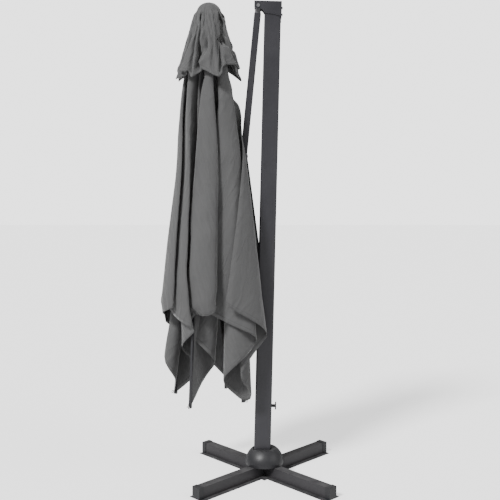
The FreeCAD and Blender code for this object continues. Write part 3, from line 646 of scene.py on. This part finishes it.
def gathering_wall(outline, near, close, squeeze, slack):
    """A closing wall round the cloth that gathers it to the outline."""
    sides = WALL_SIDES
    levels = [3.0] + [2.75 - 0.05 * i for i in range(50) if 2.75 - 0.05 * i > 0.25]
    points = []
    for level in levels:
        for c in range(sides):
            angle = 2 * math.pi * c / sides
            points.append((AXIS_X + WALL_OPEN * math.cos(angle), WALL_OPEN * math.sin(angle), level))
    faces = []
    for i in range(len(levels) - 1):
        for c in range(sides):
            a = i * sides + c
            b = i * sides + (c + 1) % sides
            faces.append((a, b, b + sides, a + sides))
    mesh = bpy.data.meshes.new("gathering_wall")
    mesh.from_pydata(points, [], faces)
    wall = link("gathering_wall", mesh)
    wall.shape_key_add(name="wide")
    loose = wall.shape_key_add(name="loose")
    tight = wall.shape_key_add(name="tight")
    for i, level in enumerate(levels):
        for c in range(sides):
            angle = 2 * math.pi * c / sides
            inner = hold_radius(outline, near, level, angle) + WALL_OFFSET
            outer = inner + slack * (0.11 + max(0.0, 2.6 - level) * 0.62)
            for key, radius in ((loose, outer), (tight, inner)):
                x = AXIS_X + radius * math.cos(angle)
                key.data[i * sides + c].co = (x, radius * math.sin(angle), level)
    key_ramp(loose, ((1, 0.0), (close, 1.0), (close + squeeze, 0.0)))
    key_ramp(tight, ((close, 0.0), (close + squeeze, 1.0)))
    make_linear(wall.data.shape_keys)
    wall.modifiers.new("Collision", "COLLISION")
    wall.collision.thickness_outer = 0.008
    wall.collision.cloth_friction = 0.0
    wall.collision.damping = 0.5
    return wall


def fold_sheet(sheet, path, held, outline, near, solids, close, squeeze, rest, slack, stiff):
    """Close the ribs on an open sheet and let it hang; returns where its points come to rest."""
    mesh = bpy.data.meshes.new("folding_sheet")
    crown = Vector((AXIS_X, 0.0, HINGE_Z))
    mesh.from_pydata([crown + point for point in sheet.points], [], sheet.faces)
    cloth = link("folding_sheet", mesh)
    cloth.shape_key_add(name="open")
    steps = 6
    moves = [index for index in range(len(sheet.points)) if held(index)]
    for step in range(1, steps + 1):
        key = cloth.shape_key_add(name=f"fold_{step}")
        for index in moves:
            key.data[index].co = path(index, step / steps)
        near_times = [(1 + close * (step - 1) / steps, 0.0), (1 + close * step / steps, 1.0)]
        if step < steps:
            near_times.append((1 + close * (step + 1) / steps, 0.0))
        key_ramp(key, near_times)
    make_linear(cloth.data.shape_keys)
    pins = cloth.vertex_groups.new(name="pins")
    pins.add(moves, 1.0, "REPLACE")
    fabric = cloth.modifiers.new("Cloth", "CLOTH")
    values = fabric.settings
    values.quality = 6
    values.mass = 0.05
    values.tension_stiffness = 25 * stiff
    values.compression_stiffness = 10 * stiff
    values.shear_stiffness = 8 * stiff
    values.bending_stiffness = 0.4 * stiff ** 2
    values.tension_damping = 5
    values.compression_damping = 5
    values.shear_damping = 5
    values.bending_damping = 0.5
    values.air_damping = 2.0
    values.vertex_group_mass = "pins"
    fabric.collision_settings.use_collision = True
    fabric.collision_settings.distance_min = 0.008
    fabric.collision_settings.collision_quality = 2
    fabric.collision_settings.use_self_collision = True
    fabric.collision_settings.self_distance_min = 0.007
    fabric.collision_settings.self_friction = 2
    for solid in solids:
        solid.modifiers.new("Collision", "COLLISION")
        solid.collision.thickness_outer = 0.01
        solid.collision.cloth_friction = 2
    wall = gathering_wall(outline, near, close, squeeze, slack)
    last = close + squeeze + rest
    fabric.point_cache.frame_end = last + 1
    for number in range(1, last + 1):
        bpy.context.scene.frame_set(number)
    shaped = cloth.evaluated_get(bpy.context.evaluated_depsgraph_get())
    places = np.array([vertex.co[:] for vertex in shaped.data.vertices])
    for helper in (wall, cloth):
        bpy.data.objects.remove(helper)
    for solid in solids:
        solid.modifiers.clear()
    bpy.context.scene.frame_set(1)
    return places


def keep_inside(places, outline, near):
    """Draw points that stand outside the outline in towards it, smoothly."""
    out = places.copy()
    for index, (x, y, z) in enumerate(places):
        dx = x - AXIS_X
        radius = math.hypot(dx, y)
        allowed = hold_radius(outline, near, z, math.atan2(y, dx)) + OUTLINE_MARGIN
        start = allowed * DRAW_IN
        if radius > start:
            room = allowed - start
            new = start + room * (1.0 - math.exp(-(radius - start) / room))
            out[index, 0] = AXIS_X + dx * new / radius
            out[index, 1] = y * new / radius
    return out


def cloth_piece(name, sheet, places, thickness, hem):
    """A finished cloth: smooth, with a wall, its pattern map and its seam and hem distances."""
    mesh = bpy.data.meshes.new(name)
    mesh.from_pydata([tuple(place) for place in places], [], sheet.faces)
    piece = link(name, mesh)
    layer = mesh.uv_layers.new(name="pattern")
    around = 8 * sheet.columns
    for number, polygon in enumerate(mesh.polygons):
        rib = (number % around) // sheet.columns
        for corner in polygon.loop_indices:
            layer.data[corner].uv = sheet.pattern(mesh.loops[corner].vertex_index, rib)
    gaps = [sheet.gaps(index) for index in range(len(mesh.vertices))]
    for which, label in enumerate(("hem_gap", "rib_gap")):
        mesh.attributes.new(label, "FLOAT", "POINT")
        mesh.attributes[label].data.foreach_set("value", [pair[which] for pair in gaps])
    thick = piece.vertex_groups.new(name="thick")
    for index, pair in enumerate(gaps):
        thick.add([index], 1.0 if min(pair) < 0.001 else 0.45, "REPLACE")
    for polygon in mesh.polygons:
        polygon.use_smooth = True
    smooth = piece.modifiers.new("Smooth", "SUBSURF")
    smooth.levels = smooth.render_levels = 1
    wall = piece.modifiers.new("Wall", "SOLIDIFY")
    wall.thickness = thickness * hem
    wall.offset = 0.0
    wall.vertex_group = "thick"
    wall.thickness_vertex_group = 0.0
    apply_all(piece)
    return piece


def folding_solids():
    """Bars that stand for the mast, strut and boom while the cloth folds."""
    return [
        box_collider("mast_bar", MAST_FOOT, MAST_TOP, 0.060, 0.0934),
        box_collider("lower_boom_bar", KNUCKLE, BOOM_FOOT, 0.030, 0.045),
        box_collider("upper_boom_bar", HANGER, KNUCKLE, 0.030, 0.040),
        box_collider("strut_bar", STRUT_TOP, KNUCKLE, 0.038, 0.042),
    ]


STATE = {}


class PARASOL_OT_finishes(bpy.types.Operator):
    """Give every part of the frame its finish"""

    bl_idname = "parasol.finishes"
    bl_label = "Finish the frame"

    def execute(self, context):
        colours = context.scene.parasol_colours
        GROUPS["grain"] = grain_group()
        GROUPS["dust"] = dust_group()
        GROUPS["scuff"] = scuff_group()
        GROUPS["weave"] = weave_group()
        GROUPS["crease"] = crease_group()
        GROUPS["strand"] = strand_group()
        mast = tuple(colours.mast)
        base = tuple(colours.base)
        finishes = {
            "mast_paint": coated("mast_paint", mast, 0.42, grain=700, peel=0.3, dust=0.1, coat=0.15),
            "base_paint": coated("base_paint", base, 0.45, grain=700, peel=0.3, dust=0.35, coat=0.1),
            "boom_paint": coated("boom_paint", (0.010, 0.010, 0.010), 0.4, grain=700, peel=0.25, dust=0.1),
            "cast_alloy": coated("cast_alloy", (0.13, 0.128, 0.135), 0.48, 0.4, 320, 0.5, 0.2, 0.4),
            "black_plastic": coated(
                "black_plastic", (0.016, 0.016, 0.018), 0.42, 0.0, 500, 0.35, 0.22, 0.3),
            "steel": coated("steel", (0.38, 0.38, 0.39), 0.32, 1.0, 260, 0.15, 0.1, 0.5),
            "rib_paint": coated("rib_paint", (0.022, 0.022, 0.025), 0.4, grain=700, peel=0.25, dust=0.1),
            "cable": wound("cable", (0.42, 0.42, 0.43), 0.3, 80.0),
            "eyelet_metal": coated("eyelet_metal", (0.72, 0.72, 0.72), 0.22, 1.0, 260, 0.1, 0.1, 0.3),
            "canopy_fabric": woven("canopy_fabric", tuple(colours.cloth)),
        }
        STATE["finishes"] = finishes
        for row in frame["record"]["subparts"]:
            node = frame["nodes"][row["node"]]
            node.data.materials.clear()
            node.data.materials.append(finishes[row["material_slot"]])
        return {"FINISHED"}


class PARASOL_OT_canopy(bpy.types.Operator):
    """Fold the square canopy on its eight ribs and let it hang"""

    bl_idname = "parasol.canopy"
    bl_label = "Hang the canopy"

    def execute(self, context):
        sizes = context.scene.parasol_sizes
        rings = sizes.rings
        columns = sizes.columns
        sheet = Sheet(sizes.half_side, sizes.half_side * math.sqrt(2), rings, columns, 0.035, SLIT_SHARE, 1)
        around = 8 * columns
        crown_row = set(range(around))

        def held(index):
            return index in crown_row or (sheet.marks[index][2] == 0.0 and index < around * (rings + 1))

        def path(index, fold):
            k, share, across = sheet.marks[index]
            here = sheet.rib_path(k, share, fold, sizes.cloth_gap)
            if across == 0.0:
                return here
            return here.lerp(sheet.rib_path((k + 1) % 8, share, fold, sizes.cloth_gap), across)

        close, squeeze, rest = 50, 35, 22
        solids = folding_solids()
        for solid in solids:
            solid.location = (0.6, 0.0, 0.0)
            solid.keyframe_insert("location", frame=close)
            solid.location = (0.0, 0.0, 0.0)
            solid.keyframe_insert("location", frame=close + 25)
        places = fold_sheet(
            sheet, path, held, OUTLINE, NEAR_OUTLINE, solids, close, squeeze, rest, 1.0, 1.0)
        for solid in solids:
            bpy.data.objects.remove(solid)
        places = sheet.part_slit(keep_inside(places, OUTLINE, NEAR_OUTLINE))
        STATE["canopy"] = (sheet, places)
        piece = cloth_piece("canopy_sheet", sheet, places, sizes.cloth_thickness, 1.6)
        piece.data.materials.append(STATE["finishes"]["canopy_fabric"])
        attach(piece, "canopy")
        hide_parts("canopy_cloth")
        return {"FINISHED"}


class PARASOL_OT_vent_cap(bpy.types.Operator):
    """Hang the small vent cap over the crown"""

    bl_idname = "parasol.vent_cap"
    bl_label = "Hang the vent cap"

    def execute(self, context):
        sizes = context.scene.parasol_sizes
        rings, columns = 24, 14
        reach = sizes.cap_half_side
        sheet = Sheet(reach, reach, rings, columns, 0.02, CAP_SLIT_SHARE, 9)
        around = 8 * columns

        def held(index):
            return sheet.marks[index][1] * sheet.slant < CAP_DOME or sheet.marks[index][2] == 0.0

        def path(index, fold):
            k, share, across = sheet.marks[index]
            angle = FIRST_RIB + (k + across) * RIB_STEP
            along = min(1.0, share * sheet.slant / CAP_DOME) * math.pi / 2
            beyond = max(0.0, share * sheet.slant - CAP_DOME)
            lean = math.radians(CAP_OPEN - CAP_CLOSING * fold)
            radius = CAP_HOLE + CAP_ROUND * math.sin(along) + beyond * math.sin(lean)
            height = CAP_TOP - CAP_DEPTH * (1.0 - math.cos(along)) - beyond * math.cos(lean)
            return Vector((AXIS_X + radius * math.cos(angle), radius * math.sin(angle), height))

        canopy_sheet, canopy_places = STATE["canopy"]
        under = bpy.data.meshes.new("canopy_under")
        under.from_pydata([tuple(place) for place in canopy_places], [], canopy_sheet.faces)
        solid = link("canopy_under", under)
        close, squeeze, rest = 30, 25, 20
        places = fold_sheet(sheet, path, held, CAP_OUTLINE, None, [solid], close, squeeze, rest, 0.6, 3.0)
        bpy.data.objects.remove(solid)
        places = sheet.part_slit(keep_inside(places, CAP_OUTLINE, None))
        closed = Sheet(reach, reach, rings, columns, 0.02, CAP_SLIT_SHARE, 9)
        closed.faces.append(tuple(reversed(range(around))))
        piece = cloth_piece("vent_cap_sheet", closed, places, sizes.cloth_thickness, 1.6)
        piece.data.materials.append(STATE["finishes"]["canopy_fabric"])
        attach(piece, "canopy")
        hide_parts("vent_cap")
        return {"FINISHED"}


class PARASOL_OT_eyelets(bpy.types.Operator):
    """Set a metal eyelet near each corner of the canopy"""

    bl_idname = "parasol.eyelets"
    bl_label = "Set the eyelets"

    def execute(self, context):
        sheet, places = STATE["canopy"]
        around = 8 * sheet.columns
        rings = []
        for k in (1, 3, 5, 7):
            tip = Vector(places[sheet.rings * around + k * sheet.columns])
            up = Vector(places[(sheet.rings - 1) * around + k * sheet.columns])
            left = Vector(places[sheet.rings * around + k * sheet.columns - 1])
            right = Vector(places[sheet.rings * around + k * sheet.columns + 1])
            down = (tip - up).normalized()
            face = (left - right).cross(down).normalized()
            centre = tip - down * 0.020
            clear_selection()
            bpy.ops.mesh.primitive_torus_add(
                major_radius=0.0062, minor_radius=0.0019, major_segments=32, minor_segments=12)
            ring = bpy.context.object
            turn = face.to_track_quat("Z", "Y")
            for vertex in ring.data.vertices:
                flat = Vector((vertex.co.x, vertex.co.y, vertex.co.z * 0.8))
                vertex.co = turn @ flat + centre
            rings.append(ring)
        clear_selection()
        for ring in rings:
            ring.select_set(True)
        bpy.context.view_layer.objects.active = rings[0]
        bpy.ops.object.join()
        piece = bpy.context.object
        piece.name = "corner_rings"
        bpy.ops.object.shade_smooth()
        piece.data.materials.append(STATE["finishes"]["eyelet_metal"])
        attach(piece, "canopy")
        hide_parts("corner_eyelets")
        return {"FINISHED"}


class PARASOL_OT_lift_cable(bpy.types.Operator):
    """Run the lifting cable from the pulley down to the carriage"""

    bl_idname = "parasol.lift_cable"
    bl_label = "Run the lifting cable"

    def execute(self, context):
        low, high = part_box("cable_fall")
        centre = (low + high) / 2
        lean = math.atan2(high.x - low.x - 0.003, high.z - low.z)
        clear_selection()
        bpy.ops.mesh.primitive_cylinder_add(
            vertices=16, radius=0.0014, depth=(high.z - low.z) * 0.998,
            location=centre, rotation=(0, lean, 0))
        piece = bpy.context.object
        piece.name = "lift_cable"
        bpy.ops.object.mode_set(mode="EDIT")
        bpy.ops.mesh.select_all(action="SELECT")
        bpy.ops.mesh.bevel(offset=0.0003, segments=1)
        bpy.ops.object.mode_set(mode="OBJECT")
        settle(piece)
        piece.data.materials.append(STATE["finishes"]["cable"])
        bodies = frame["record"]["behaviour"]["bodies"]
        body = next(name for name, nodes in bodies.items() if "cable_fall" in nodes)
        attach(piece, body)
        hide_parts("cable_fall")
        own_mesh(piece)
        return {"FINISHED"}


class PARASOL_OT_stage(bpy.types.Operator):
    """Set the floor, the lights and the camera"""

    bl_idname = "parasol.stage"
    bl_label = "Set the stage"

    def execute(self, context):
        scene = context.scene
        colour = tuple(scene.parasol_colours.floor)
        clear_selection()
        bpy.ops.mesh.primitive_grid_add(x_subdivisions=8, y_subdivisions=8, size=FLOOR_SIZE)
        floor = context.object
        floor.name = "studio_floor"
        material, tree, shader = new_material("studio_floor")
        place = tree.nodes.new("ShaderNodeTexCoord").outputs["Object"]
        tone = noise(tree, place, 3.0, 3.0)
        tree.links.new(mix_colour(tree, tone, tuple(c * 0.985 for c in colour), colour),
                       shader.inputs["Base Color"])
        shader.inputs["Roughness"].default_value = 0.9
        shader.inputs["Emission Color"].default_value = (1.0, 1.0, 1.0, 1.0)
        seen = tree.nodes.new("ShaderNodeLightPath").outputs["Is Camera Ray"]
        tree.links.new(seen, shader.inputs["Emission Strength"])
        floor.data.materials.append(material)
        world = bpy.data.worlds.new("studio")
        scene.world = world
        world.use_nodes = True
        nodes, links = world.node_tree.nodes, world.node_tree.links
        glow = nodes["Background"]
        glow.inputs[0].default_value = (1.0, 1.0, 1.0, 1.0)
        ray = nodes.new("ShaderNodeLightPath")
        level = nodes.new("ShaderNodeMapRange")
        level.inputs["To Min"].default_value = 0.36
        level.inputs["To Max"].default_value = 2.6
        links.new(ray.outputs["Is Camera Ray"], level.inputs["Value"])
        links.new(level.outputs[0], glow.inputs[1])
        lights = (("key", (-0.62, -0.72, 0.95), 4.8, 12.0), ("fill", (0.8, -0.35, 0.5), 0.9, 40.0))
        for name, toward, power, spread_angle in lights:
            lamp = bpy.data.lights.new(name, "SUN")
            lamp.energy = power
            lamp.angle = math.radians(spread_angle)
            holder = bpy.data.objects.new(name, lamp)
            scene.collection.objects.link(holder)
            holder.location = toward
            holder.rotation_euler = (-Vector(toward)).to_track_quat("-Z", "Y").to_euler()
        lens = bpy.data.cameras.new("camera")
        lens.lens = 57.7
        lens.sensor_width = 36.0
        lens.shift_x = -0.0288
        lens.shift_y = -0.162
        camera = bpy.data.objects.new("camera", lens)
        scene.collection.objects.link(camera)
        camera.location = (0.0, -4.5, 1.71)
        camera.rotation_euler = (math.pi / 2, 0.0, 0.0)
        scene.camera = camera
        return {"FINISHED"}


class PARASOL_PT_panel(bpy.types.Panel):
    """Lists the steps that build the parasol"""

    bl_label = "Parasol"
    bl_idname = "PARASOL_PT_panel"
    bl_space_type = "VIEW_3D"
    bl_region_type = "UI"
    bl_category = "Parasol"

    def draw(self, context):
        for group in (context.scene.parasol_sizes, context.scene.parasol_colours):
            for name in group.__annotations__:
                self.layout.prop(group, name)
        for step in STEPS:
            self.layout.operator(step.bl_idname)


STEPS = (
    PARASOL_OT_finishes,
    PARASOL_OT_stage,
    PARASOL_OT_canopy,
    PARASOL_OT_vent_cap,
    PARASOL_OT_eyelets,
    PARASOL_OT_lift_cable,
)
CLASSES = (ParasolSizes, ParasolColours, *STEPS, PARASOL_PT_panel)


def register():
    """Make the classes and the scene's values known."""
    for item in CLASSES:
        bpy.utils.register_class(item)
    bpy.types.Scene.parasol_sizes = PointerProperty(type=ParasolSizes)
    bpy.types.Scene.parasol_colours = PointerProperty(type=ParasolColours)


def unregister():
    """Take the classes and the scene's values away again."""
    del bpy.types.Scene.parasol_colours
    del bpy.types.Scene.parasol_sizes
    for item in reversed(CLASSES):
        bpy.utils.unregister_class(item)


def main():
    """Build everything in order."""
    register()
    bpy.ops.parasol.finishes()
    bpy.ops.parasol.stage()
    bpy.ops.parasol.canopy()
    bpy.ops.parasol.vent_cap()
    bpy.ops.parasol.eyelets()
    bpy.ops.parasol.lift_cable()


if __name__ == "__main__":
    main()
